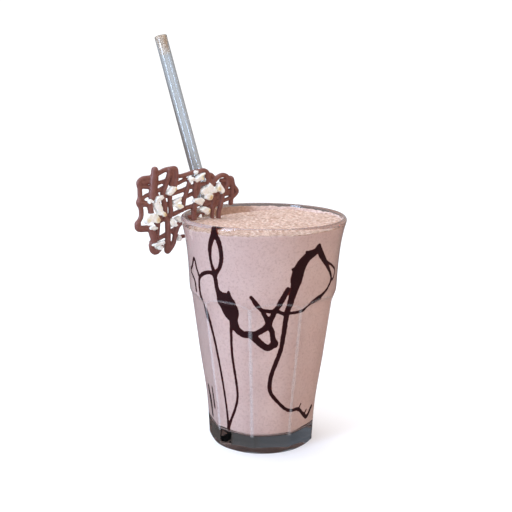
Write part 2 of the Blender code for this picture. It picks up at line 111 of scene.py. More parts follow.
def addAttribute(tree, name):
    return addNode(tree, "ShaderNodeAttribute", attribute_name=name).outputs["Fac"]


def addBump(tree, shader, height, strength, depthMm):
    bump = addNode(tree, "ShaderNodeBump", {"Height": height, "Strength": strength,
                                            "Distance": depthMm * mm})
    tree.links.new(bump.outputs["Normal"], shader.inputs["Normal"])


def letLightThrough(tree, shader, rays, colour):
    # rays of these kinds go straight through, tinted, where others are bent
    clear = addNode(tree, "ShaderNodeBsdfTransparent", {"Color": hexColour(colour)})
    mix = addNode(tree, "ShaderNodeMixShader", {0: rays, 1: shader.outputs["BSDF"],
                                                2: clear.outputs["BSDF"]})
    tree.links.new(mix.outputs["Shader"], tree.nodes["Material Output"].inputs["Surface"])


def addObject(name, data):
    added = bpy.data.objects.new(name, data)
    bpy.context.scene.collection.objects.link(added)
    return added


def addPiece(name, points, faces, material):
    mesh = bpy.data.meshes.new(name)
    mesh.from_pydata([tuple(p) for p in points], [], faces)
    mesh.materials.append(material)
    mesh.shade_smooth()
    return addObject(name, mesh)


def storeValues(mesh, name, values):
    # one value for each point, which a material reads by its name
    layer = mesh.attributes.new(name, "FLOAT", "POINT")
    layer.data.foreach_set("value", np.array(values, np.float32))


def applied(piece):
    # puts what the modifiers make into the piece's own mesh
    bpy.context.view_layer.update()
    mesh = bpy.data.meshes.new_from_object(piece.evaluated_get(bpy.context.evaluated_depsgraph_get()))
    mesh.shade_smooth()
    piece.modifiers.clear()
    piece.data = mesh
    return piece


def dress(piece, node):
    # every piece here stands for a solid of the frame and stays still
    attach(piece, "root")
    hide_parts(node)
    print(f"made {piece.name}, {len(piece.data.polygons)} faces, {time.perf_counter() - began:.1f} s")
    return piece


def smoothPath(points, step):
    # rows of values about a step apart on a smooth curve; the last value is a width and isn't measured
    given = np.array(points, float)
    padded = np.vstack([2 * given[0] - given[1], given, 2 * given[-1] - given[-2]])
    path = []
    for a, b, c, d in zip(padded, padded[1:], padded[2:], padded[3:]):
        steps = max(1, round(float(np.linalg.norm((c - b)[:-1])) / step))
        for i in range(steps):
            t = i / steps
            path.append(0.5 * (2 * b + (c - a) * t + (2 * a - 5 * b + 4 * c - d) * t ** 2
                               + (3 * b - a - 3 * c + d) * t ** 3))
    return np.array(path + [given[-1]])


def bridge(a, b, around):
    # quads between two closed rings of points that start at a and at b
    return [(a + j, a + (j + 1) % around, b + (j + 1) % around, b + j) for j in range(around)]


def ringFaces(rows, around):
    # a skin over rings of points, with a fan's centre point before the first and after the last
    faces = [(0, 1 + (j + 1) % around, 1 + j) for j in range(around)]
    for i in range(rows - 1):
        faces += bridge(1 + i * around, 1 + (i + 1) * around, around)
    a, end = 1 + (rows - 1) * around, 1 + rows * around
    faces += [(a + j, a + (j + 1) % around, end) for j in range(around)]
    return faces


def stripFaces(start, rings, around):
    # a strip's skin over rings of points, with a flat face at each end
    last = start + (rings - 1) * around
    faces = [face for at in range(start, last, around) for face in bridge(at, at + around, around)]
    return faces + [tuple(range(start, start + around))[::-1], tuple(range(last, last + around))]


def onWall(radius, angle, height):
    # a point in metres from millimetres and radians
    return (radius * math.sin(angle) * mm, -radius * math.cos(angle) * mm, height * mm)


# The tumbler: pressed in a mould, nine flats that end in arches, a flared rim
tumbler = {
    "outside": [(25, 0), (27.4, 0.1), (28.7, 1.2), (29.4, 3.6), (30.8, 24), (34.6, 50), (38.65, 80.5),
                (39.5, 86), (39.95, 94), (40.5, 102), (41.4, 110), (42.7, 117), (43.9, 121.6)],
    "lip": [(44.0, 122.7), (43.5, 123.7), (42.9, 124.0), (42.3, 123.7), (41.9, 122.7)],
    "inside": [(40.2, 117), (38.8, 110), (37.7, 101), (37.2, 92), (36.3, 84), (34.5, 77), (30.9, 50),
               (27.2, 24), (25.9, 13), (25.1, 10), (23, 8.8), (19, 8.6)],
    "facets": 9,
    "firstRidge": -9.8,       # degrees from the front to the ridge nearest it
    "facetBase": 3.6,
    "archFoot": 80.5,
    "archTop": 85.0,
    "ridgeSoft": 0.4,         # rounding where two facets meet
    "archSoft": 0.12,         # rounding where a facet runs out in an arch
    "archRise": 1.6,          # how far above the arch a facet's curve is followed, in arch heights
    "columns": 24,            # to a facet
    "crowded": 0.75,          # how much closer together columns are near the ridges
    "fineRow": 0.3,
    "coarseRow": 0.9,
    "fineNear": 3,            # rows stay fine this far from the arches
    "coarse": (14, 121),      # heights between which rows may be coarse
}

outsideLine = smoothPath([(r, z, 0) for r, z in tumbler["outside"]], 0.5)
insideLine = smoothPath([(r, z, 0) for r, z in tumbler["lip"][-1:] + tumbler["inside"]], 0.5)[::-1]


def outsideRadius(height):
    return np.interp(height, outsideLine[:, 1], outsideLine[:, 0])


def insideRadius(height):
    return np.interp(height, insideLine[:, 1], insideLine[:, 0])


def softMin(values, soft):
    # the smallest of several, rounded where they cross
    return -soft * np.logaddexp.reduce([-value / soft for value in values])


def facetRadius(radius, height, angle):
    # the outside pressed flat below the arches
    half = math.pi / tumbler["facets"]
    off = (angle - math.radians(tumbler["firstRidge"])) % (2 * half) - half
    flat = outsideRadius(max(height, tumbler["facetBase"])) * math.cos(half)
    rise = (height - tumbler["archFoot"]) / (tumbler["archTop"] - tumbler["archFoot"])
    rise = min(max(rise, 0), tumbler["archRise"])
    flat += outsideRadius(tumbler["archTop"]) * (1 - math.cos(half)) * rise ** 2
    flats = softMin([flat / np.cos(off + turn) for turn in (-2 * half, 0, 2 * half)], tumbler["ridgeSoft"])
    return softMin([flats, np.full(len(angle), radius)], tumbler["archSoft"])


def makeGlass():
    # Soda-lime glass, pressed and fire-polished: clear, grey-blue where it is thick, as at the foot,
    # with faint waves left by the mould. The grey tint is set strong enough to stand as painted shade in
    # the thick foot.
    material, tree, shader = newMaterial("soda-lime glass, pressed", "#ffffff", Roughness=0.02, IOR=1.52,
                                         Transmission_Weight=1.0)
    addBump(tree, shader, addNoise(tree, 16, 0.0), 0.15, 0.3)
    # painted shade: this tint darkens the thick foot more than the glass itself would
    tint = addNode(tree, "ShaderNodeVolumeAbsorption", {"Color": hexColour("#8b8e96"), "Density": 20.0})
    tree.links.new(tint.outputs["Volume"], tree.nodes["Material Output"].inputs["Volume"])
    # light reaches what stands in the glass straight through it
    path = addNode(tree, "ShaderNodeLightPath")
    either = addNode(tree, "ShaderNodeMath", {0: path.outputs["Is Shadow Ray"],
                                              1: path.outputs["Is Diffuse Ray"]}, operation="MAXIMUM")
    letLightThrough(tree, shader, either.outputs[0], "#ffffff")
    return material


def makeTumbler():
    close = smoothPath([(r, z, 0) for r, z in tumbler["outside"] + tumbler["lip"] + tumbler["inside"]],
                       tumbler["fineRow"])
    low, high = tumbler["coarse"]
    archLow, archHigh = tumbler["archFoot"] - tumbler["fineNear"], tumbler["archTop"] + tumbler["fineNear"]
    line = [close[0]]
    for row in close[1:]:
        plain = low < row[1] < archLow or archHigh < row[1] < high
        if math.dist(row, line[-1]) > (tumbler["coarseRow"] if plain else tumbler["fineRow"]) - 0.1:
            line.append(row)
    lipAt = int(np.argmax([row[1] for row in line]))
    share = np.arange(tumbler["facets"] * tumbler["columns"]) / tumbler["columns"]
    angles = share - tumbler["crowded"] * np.sin(2 * np.pi * share) / (2 * np.pi)
    angles = angles * 2 * math.pi / tumbler["facets"]
    angles += math.radians(tumbler["firstRidge"])
    points = [(0, 0, 0)]
    for row, (r, z, _) in enumerate(line):
        z = max(z, 0)
        radii = np.full(len(angles), r)
        if row < lipAt and z < archHigh:
            radii = facetRadius(r, z, angles)
        points += [onWall(radius, a, z) for radius, a in zip(radii, angles)]
    points.append((0, 0, tumbler["inside"][-1][1] * mm))
    piece = addPiece("pressed_tumbler", points, ringFaces(len(line), len(angles)), makeGlass())
    return dress(piece, "tumbler")


# Painted highlight: thin whitish veils along the ridges and arches, which stand in for the pale lines of
# light they catch
edgeHighlights = {
    "ridges": [(1.0, 0.06), (0.5, 0.1)],     # half widths of the pale bands, how proud they stand
    "arches": [(0.55, 0.06)],
    "from": 10.0,
    "past": 0.6,              # how far the ridges' bands run past the foot of the arches
    "rowStep": 1.2,
    "uneven": 0.3,            # how much a band's width varies
    "archRise": 4.5,          # height of an arch, which is half an ellipse here
    "archAt": 83,             # height at which the arches' radius is taken
    "archEnds": 84,           # degrees from an arch's top to its ends
    "archRows": 43,
}


def makeEdgeHighlightMaterial():
    # Painted highlight: a thin whitish veil in place of the light caught on the ridges and arches
    return newMaterial("pale veil, painted highlight", "#f4f6fa", Roughness=0.5, IOR=1.5, Alpha=0.065)[0]


def addBand(points, faces, rows, proud):
    # a thin closed band on the outside of the tumbler; rows of (angle, height) from side to side
    start, across = len(points), len(rows[0])
    for row in rows:
        ring = []
        for angle, z in row:
            radius = float(facetRadius(outsideRadius(z), z, np.array([angle]))[0])
            ring.append((radius, angle, z))
        for lift, part in ((proud, ring), (-proud / 2, ring[::-1])):
            points += [onWall(r + lift, a, z) for r, a, z in part]
    faces += stripFaces(start, len(rows), 2 * across)


def makeEdgeHighlights():
    # pale bands over every ridge and arch: painted highlight
    points, faces = [], []
    step = 2 * math.pi / tumbler["facets"]
    for facet in range(tumbler["facets"]):
        ridge = math.radians(tumbler["firstRidge"]) + facet * step
        for half, proud in edgeHighlights["ridges"]:
            rows = []
            for z in np.arange(edgeHighlights["from"], tumbler["archFoot"] + edgeHighlights["past"], edgeHighlights["rowStep"]):
                vary = 1 + edgeHighlights["uneven"] * noise.noise(Vector((z / 9, facet * 5, half)))
                wide = half * vary / outsideRadius(z)
                rows.append([(ridge + wide * k, z) for k in (-1, -0.5, 0, 0.5, 1)])
            addBand(points, faces, rows, proud)
        for half, proud in edgeHighlights["arches"]:
            rows, middle, rise = [], outsideRadius(edgeHighlights["archAt"]), edgeHighlights["archRise"]
            for turn in np.radians(np.linspace(-edgeHighlights["archEnds"], edgeHighlights["archEnds"], edgeHighlights["archRows"])):
                along, up = math.cos(turn) * middle * step / 2, -math.sin(turn) * rise
                length = math.hypot(along, up)
                rows.append([(ridge + step / 2 * (1 + math.sin(turn)) - k * half * up / length / middle,
                              tumbler["archFoot"] + rise * math.cos(turn) + k * half * along / length)
                             for k in (-1, 0, 1)])
            addBand(points, faces, rows, proud)
    piece = addPiece("painted_edge_highlights", points, faces, makeEdgeHighlightMaterial())
    return dress(piece, "tumbler")


# The drink: thick milk and cocoa, blended until it foams
drink = {
    "level": 120.3,
    "bottom": 8.55,
    "intoWall": 0.05,
    "around": 360,
    "rings": 110,
    "rowStep": 1.5,
    "slope": 0.016,           # rise for each millimetre to the right
    "dip": (2.0, -22, 32, 380),    # depth, place and spread of the low part at the back left
    "ripple": 0.25,
    "folds": (0.3, 9.0, 5.0), # heights and sizes of the relief on top, from long folds
    "lumps": (0.2, 2.0),
    "bubbles": (0.09, 0.9),   # down to single bubbles
    "climb": 0.5,             # how far the drink climbs the wall
}


def level(x, y):
    # lower at the back left, a little proud at the right
    deep, left, back, spread = drink["dip"]
    dip = deep * math.exp(-((x - left) ** 2 + (y - back) ** 2) / spread)
    ripple = drink["ripple"] * math.sin(x / 5.0 + 1.3 * math.sin(y / 7.0))
    return drink["level"] + drink["slope"] * x - dip + ripple


def foamHeight(x, y):
    high, wide, deep = drink["folds"]
    (lump, lumpSize), (bubble, bubbleSize) = drink["lumps"], drink["bubbles"]
    folds = noise.fractal(Vector((x / wide, y / deep, 0.3)), 0.9, 2.1, 3)
    lumps = noise.noise(Vector((x / lumpSize, y / lumpSize, 4.7)))
    bubbles = noise.noise(Vector((x / bubbleSize, y / bubbleSize, 9.1)))
    return level(x, y) + high * folds + lump * lumps + bubble * bubbles


def makeShakeMaterial():
    # Blended milk, ice cream and cocoa: matt, slightly translucent pinkish brown. The side is smooth
    # against the glass with fine bubbles in it, the top is foam in light and dark flecks. The side's
    # tones are also set lighter than the top's, as painted light that makes up for what the glass holds
    # back.
    material, tree, shader = newMaterial("milk and cocoa foam", "#d6b9b2", Roughness=0.6, IOR=1.35,
                                         Subsurface_Weight=0.1, Subsurface_Scale=1.0,
                                         Subsurface_Radius=(2.2 * mm, 1.4 * mm, 1.0 * mm),
                                         Specular_IOR_Level=0.3)
    # painted light: these side tones are lighter than the top's to make up for the light the glass holds
    # back
    sideTone = addRamp(tree, addNoise(tree, 16, 4.0, 0.6), [(0.3, "#d3b5ae"), (0.7, "#dcc0b8")])
    pores = addRamp(tree, addNoise(tree, 1.1, 2.0, 0.6), [(0.32, "#e3dad8"), (0.5, "#ffffff")])
    side = addMix(tree, 0.6, sideTone, pores, "MULTIPLY")
    flecks = addNoise(tree, 1.6, 3.0, 0.7)
    topTone = addRamp(tree, flecks, [(0.36, "#a88874"), (0.5, "#caa999"), (0.64, "#e8d0c1")])
    facing = addNode(tree, "ShaderNodeNewGeometry")
    up = addNode(tree, "ShaderNodeSeparateXYZ", {0: facing.outputs["Normal"]})
    onTop = addRange(tree, up.outputs["Z"], 0.25, 0.6)
    tree.links.new(addMix(tree, onTop, side, topTone), shader.inputs["Base Color"])
    addBump(tree, shader, flecks, 0.4, 0.2)
    return material


def makeDrink():
    angles = np.arange(drink["around"]) * 2 * math.pi / drink["around"]
    ways = [(math.sin(a), -math.cos(a)) for a in angles]
    brim = insideRadius(drink["level"])
    tops = [foamHeight(x * brim, y * brim) + drink["climb"] for x, y in ways]
    points = [(0, 0, drink["bottom"] * mm)]
    rows = round((drink["level"] - drink["bottom"]) / drink["rowStep"])
    for row in range(rows):
        for (x, y), top in zip(ways, tops):
            z = drink["bottom"] + (top - drink["bottom"]) * row / rows
            radius = insideRadius(z) + drink["intoWall"] if row else insideRadius(z + 0.2) - 1
            points.append((radius * x * mm, radius * y * mm, z * mm))
    shares = np.linspace(1, 0.01, drink["rings"])
    for share in shares:
        climb = drink["climb"] * math.exp(-(1 - share) * 90)
        for x, y in ways:
            reach = brim * share
            z = foamHeight(x * reach, y * reach) + climb
            if share == 1:
                reach = insideRadius(z) + drink["intoWall"]
            points.append((x * reach * mm, y * reach * mm, z * mm))
    points.append((0, 0, foamHeight(0, 0) * mm))
    faces = ringFaces(rows + len(shares), len(angles))
    piece = addPiece("blended_shake", points, faces, makeShakeMaterial())
    return dress(piece, "milkshake")


# A thin layer on the wall above the drink: a brown film at the back left,
# foam round the rest of the back. Angles run from the right round the back to the left.
film = {
    "from": 80,
    "to": 262,
    "low": 116.8,
    "high": 122.3,
    "foamEnds": (182, 196),
    "intoWall": 0.05,
    "thickness": 0.35,
    "uneven": 0.5,            # how much the top edge goes up and down
    "taper": 25,              # columns over which it runs out at each end
    "columns": 420,
    "rows": 9,
}


def makeFilmMaterial():
    # The same drink, thin: brown and brushed at the back left, pale where the foam value is high
    material, tree, shader = newMaterial("milk and cocoa film", "#b7937f", Roughness=0.5, IOR=1.35,
                                         Specular_IOR_Level=0.25)
    foam, brushed = addAttribute(tree, "foam"), addNoise(tree, 1.8, 3.0, 0.7)
    thin = addRamp(tree, brushed, [(0.35, "#9c7a66"), (0.65, "#bd9a84")])
    thick = addRamp(tree, brushed, [(0.35, "#c09f93"), (0.65, "#e8d0c5")])
    tree.links.new(addMix(tree, foam, thin, thick), shader.inputs["Base Color"])
    addBump(tree, shader, brushed, 0.4, 0.15)
    return material


def makeFilm():
    # a thin closed strip whose outside lies just in the wall and whose top edge is uneven
    columns, rows = film["columns"], film["rows"]
    points, shares = [], []
    for column in range(columns):
        degrees = film["from"] + (film["to"] - film["from"]) * column / (columns - 1)
        a = math.radians(degrees)
        taper = min(1, column / film["taper"], (columns - 1 - column) / film["taper"])
        top = film["high"] + film["uneven"] * noise.fractal(Vector((a * 11, 2.3, 0)), 0.8, 2.0, 3)
        top = film["low"] + 0.4 + (top - film["low"] - 0.4) * math.sin(taper * math.pi / 2)
        start, end = film["foamEnds"]
        foam = min(max((end - degrees) / (end - start), 0), 1)
        up = [film["low"] + (top - film["low"]) * k / (rows - 1) for k in range(rows)]
        ring = [(insideRadius(z) + film["intoWall"], z) for z in up]
        for k in range(rows - 1, -1, -1):
            lump = 0.75 + 0.5 * noise.noise(Vector((a * 22, up[k] / 1.6, 7)))
            thinned = math.sqrt(1 - 0.97 * (k / (rows - 1)) ** 2)
            depth = film["thickness"] * (0.5 + 0.9 * foam) * lump * thinned
            ring.append((insideRadius(up[k]) - depth, up[k]))
        points += [onWall(r, a, z) for r, z in ring]
        shares += [foam] * len(ring)
    piece = addPiece("foam_film", points, stripFaces(0, columns, 2 * rows), makeFilmMaterial())
    storeValues(piece.data, "foam", shares)
    return dress(piece, "milkshake")


# Chocolate sauce run down the inside of the glass before it was filled.
# Strokes of (degrees, height, width), each drawn in one go.
sauce = {
    "strokes": [
        # left run: from the rim round an eye, a thick blob, and along to the middle knot
        [(-35, 122.3, 1.9), (-35, 120.3, 2.6)],
        [(-35.5, 120, 2.2), (-38.7, 117, 2.1), (-41.5, 112.5, 1.9), (-42.4, 108, 1.6), (-41.7, 104, 1.5),
         (-40.2, 100.5, 1.8), (-39.2, 98.3, 2), (-38.5, 95.5, 2), (-37, 90, 2)],
        [(-35.2, 120, 2.2), (-33.1, 117, 2.2), (-31.9, 111.5, 1.9), (-32.2, 106, 1.8), (-34.5, 102, 1.6),
         (-38.5, 98.6, 2)],
        [(-36.8, 90, 2), (-33.7, 87, 4), (-30, 84, 7.2), (-27.4, 80, 7.2), (-25.6, 76, 4.4),
         (-22.5, 70.5, 3.4), (-16, 68, 2.8), (-10, 68, 3), (-6, 65.5, 3), (-0.5, 62.5, 2.8),
         (5, 60.8, 2.8), (11, 63, 2.8)],
        [(-26.8, 90.2, 1.3), (-27.3, 86, 3.4)],
        # two thin runs that meet low on the left
        [(-27, 73, 2), (-28.3, 67, 1.5), (-28.5, 54, 1.5), (-26, 39, 1.5), (-26, 31, 1.5),
         (-30, 24, 1.5), (-36, 17.5, 1.6), (-41.5, 11.5, 2.2)],
        [(-39.5, 98.3, 1.9), (-44, 98.9, 1.7), (-51, 97.6, 1.7), (-57.5, 94, 1.5), (-58, 87, 1.5),
         (-55, 80.5, 1.5), (-51, 70, 1.5), (-47, 57, 1.5), (-43.7, 40, 1.5), (-42, 24, 1.5),
         (-41, 12, 1.8)],
        [(-57.5, 95, 1.4), (-61, 99, 1.4), (-64, 104, 1.4), (-69, 99.5, 1.4), (-73, 96, 1.4),
         (-66, 92, 1.4), (-64, 86.5, 1.4)],
        [(-81, 29, 3.2), (-78, 22, 4.2), (-75, 14, 2.6)],
        [(-65, 31, 2.2), (-64, 21, 2.6)],
        # middle knot
        [(-8.7, 88.4, 1.5), (-5, 85, 1.9), (-1.5, 82, 1.9), (2, 78, 2), (5, 74, 2.8), (0, 70.7, 2.4),
         (-9, 67.7, 2.4)],
        [(19, 92.4, 2), (15.5, 88, 2.2), (12.3, 84, 2.2), (8.7, 79, 2.2), (5.3, 73.5, 2.6),
         (8, 69.5, 2.3), (9, 66, 2.4), (11, 62.7, 3)],
        [(0, 81.5, 1.8), (6, 80.8, 1.8), (12, 80.6, 1.7), (18, 79, 1.6)],
        # right run: a peak, a wide ribbon that narrows down to the base, and its ragged end
        [(43.3, 114, 1.6), (41, 111, 2.8), (36, 109.5, 3.4), (31.7, 107, 3.8), (28, 103, 4.4),
         (26, 98, 4.6), (24.5, 92.5, 3.2), (22, 86.5, 2.6), (20.3, 79, 2.4), (18.7, 68, 2.2),
         (16.7, 59, 2.1), (12.7, 52, 2.1), (8.7, 45, 2.1), (7.5, 38.5, 2.1), (10, 34, 1.9),
         (17, 29.5, 1.7), (25, 25.5, 1.6), (32, 23.7, 1.6), (43, 23, 1.6), (53, 18.7, 1.8), (62, 16, 2),
         (71, 20.5, 1.9)],
        [(43, 22.5, 1.5), (47, 25.5, 1)],
        [(55, 17.5, 1.6), (59.5, 20.3, 1)],
        [(36.5, 109.5, 3), (32.5, 111.3, 1.2)],
        [(28, 102.5, 3), (22.5, 102.7, 1.4)],
        [(43, 113, 2.4), (48, 108, 2.7), (56, 102, 1.9), (64.5, 94.5, 1.5), (61, 90, 1.4),
         (53, 86.8, 1.5), (47.5, 85.2, 2.2), (40, 83.5, 1.5), (33, 80.3, 1.6), (25, 79.4, 1.4),
         (20.5, 79.6, 1.4)],
        [(54, 104.3, 1.2), (64, 101, 1.2), (71, 97.5, 1.2), (69, 93.5, 1.2), (64, 93, 1.2)],
    ],
    "perDegree": 0.64,        # about what a degree measures along the wall
    "spread": 1.5,            # it has spread to this many times the width it was poured
    "heights": (9.5, 124),
    "cell": 0.28,
    "pathStep": 0.35,
    "reach": 5,               # how far from a stroke's middle it is looked for
    "blend": 0.22,            # how far strokes flow together where they meet
    "ragged": 0.15,
    "intoWall": 0.1,
    "thickness": 0.7,
    "edgeDrop": 0.16,         # the edge leaves the wall by this much, over edgeSoft
    "edgeSoft": 0.12,
}


def makeSauceMaterial():
    # Chocolate syrup: nearly black where it is thick, maroon to orange brown at its thin edges.
    # It wets the glass, so it hardly shines.
    material, tree, shader = newMaterial("chocolate syrup", "#16060a", Roughness=0.3, IOR=1.46,
                                         Specular_IOR_Level=0.12)
    streaks, depth = addNoise(tree, 4, 3.0), addAttribute(tree, "depth")
    uneven = addNode(tree, "ShaderNodeMath", {0: streaks, 1: 0.5, 2: depth}, operation="MULTIPLY_ADD")
    tone = addRamp(tree, uneven.outputs[0], [(0.3, "#86402a"), (0.5, "#58201a"), (0.72, "#3c1214"),
                                             (1.0, "#2b0c10")])
    tree.links.new(tone, shader.inputs["Base Color"])
    return material


def sauceField(along, height):
    # signed distance in millimetres into the sauce, on the unrolled wall; strokes flow together
    outside, reach = -40.0, sauce["reach"]
    total = np.full(along.shape, outside)
    for stroke in sauce["strokes"]:
        path = smoothPath([(a * sauce["perDegree"], z, w * sauce["spread"]) for a, z, w in stroke],
                          sauce["pathStep"])
        near = np.full(along.shape, outside)
        for s, z, width in path:
            rows = slice(*np.searchsorted(height[:, 0], [z - reach, z + reach]))
            cols = slice(*np.searchsorted(along[0], [s - reach, s + reach]))
            d = width / 2 - np.hypot(along[rows, cols] - s, height[rows, cols] - z)
            near[rows, cols] = np.maximum(near[rows, cols], d)
        total = sauce["blend"] * np.logaddexp(total / sauce["blend"], near / sauce["blend"])
    return total


def makeSauce():
    cell, half = sauce["cell"], 90 * sauce["perDegree"]
    columns = np.arange(-half, half, cell)
    lines = np.arange(*sauce["heights"], cell)
    along, height = np.meshgrid(columns, lines)
    field = sauceField(along, height)
    wobble = np.array([[noise.noise(Vector((s / 0.9, z / 0.9, 0)))
                        + noise.noise(Vector((s / 2.6, z / 2.6, 5))) for s in columns] for z in lines])
    field += sauce["ragged"] * wobble
    slopeZ, slopeS = np.gradient(field, cell)
    inside = field > 0
    kept = inside[:-1, :-1] | inside[1:, :-1] | inside[:-1, 1:] | inside[1:, 1:]
    index, points, depths, faces = {}, [], [], []

    def corner(i, j):
        if (i, j) not in index:
            s, z, f = along[i, j], height[i, j], field[i, j]
            if f < 0:      # pull the border in to where the sauce ends
                steep = max(slopeS[i, j] ** 2 + slopeZ[i, j] ** 2, 0.3)
                s, z, f = s - f * slopeS[i, j] / steep, z - f * slopeZ[i, j] / steep, 0
            index[i, j] = len(points)
            points.append((s, z))
            depths.append(f)
        return index[i, j]

    for i, j in zip(*np.nonzero(kept)):
        faces.append((corner(i, j), corner(i, j + 1), corner(i + 1, j + 1), corner(i + 1, j)))
    outer = []
    for (s, z), depth in zip(points, depths):
        turn = math.radians(s / sauce["perDegree"])
        drop = sauce["edgeDrop"] * math.exp(-depth / sauce["edgeSoft"])
        outer.append(onWall(insideRadius(z) + sauce["intoWall"] - drop, turn, z))
    piece = addPiece("chocolate_sauce", outer, faces, makeSauceMaterial())
    storeValues(piece.data, "depth", np.clip(depths, 0, 1))
    thick = piece.modifiers.new("Thickness", "SOLIDIFY")
    thick.thickness = sauce["thickness"] * mm
    thick.offset = -1
    return dress(applied(piece), "milkshake")


# The straw: a clear tube that leans on the rim at the back left
straw = {
    "radius": 3.5,
    "wall": 0.5,
    "at": (-31.8, 21.0, 124.0),
    "slope": (-0.284, 0.2, 1.0),
    "below": 112.5,
    "above": 93.0,
    "around": 64,
    "rowStep": 2.0,
    "lip": 0.12,
    "dried": [4.0, 7.0, 10.0],     # depths of the layers of drink dried in the mouth
    "driedThickness": 0.1,
    "driedStep": 0.15,
}


def makeStrawMaterial():
    # Extruded polypropylene: clear, its skin slightly dull, so that its highlights spread
    material, tree, shader = newMaterial("polypropylene, clear", "#fafcfd", Roughness=0.13, IOR=1.46,
                                         Transmission_Weight=1.0)
    path = addNode(tree, "ShaderNodeLightPath")
    letLightThrough(tree, shader, path.outputs["Is Shadow Ray"], "#e6eaee")
    return material


def addTube(name, outer, inner, start, end, material):
    # a tube on the straw's axis with rounded lips, from start to end along it
    slope = Vector(straw["slope"])
    soft = min(straw["lip"], (outer - inner) / 2.5)
    up = np.linspace(start + soft, end - soft, max(3, round((end - start) / straw["rowStep"])))
    line = [(inner, z) for z in up[::-1]] + [(inner + soft, start), (outer - soft, start)]
    line += [(outer, z) for z in up] + [(outer - soft, end), (inner + soft, end)]
    around, rows = straw["around"], len(line)
    turns = np.arange(around) * 2 * math.pi / around
    points = [(r * math.cos(a) * mm, r * math.sin(a) * mm, z * mm) for r, z in line for a in turns]
    faces = [face for i in range(rows) for face in bridge(i * around, (i + 1) % rows * around, around)]
    piece = addPiece(name, points, faces, material)
    low = (Vector(straw["at"]) - slope * straw["below"]) * mm
    piece.data.transform(Matrix.Translation(low) @ slope.to_track_quat("Z", "Y").to_matrix().to_4x4())
    return dress(piece, "straw")


def makeStraw():
    length = (straw["below"] + straw["above"]) * Vector(straw["slope"]).length
    inner = straw["radius"] - straw["wall"]
    addTube("drinking_straw", straw["radius"], inner, 0, length, makeStrawMaterial())
    # Dried drink: a pale tan haze that thins downwards
    dried = newMaterial("dried milk", "#f6dcc0", Roughness=0.5, IOR=1.45, Alpha=0.22)[0]
    for number, depth in enumerate(straw["dried"]):
        outer = inner + 0.02 - straw["driedStep"] * number
        addTube(f"dried_drink_{number}", outer, outer - straw["driedThickness"], length - depth,
                length - 0.4, dried)


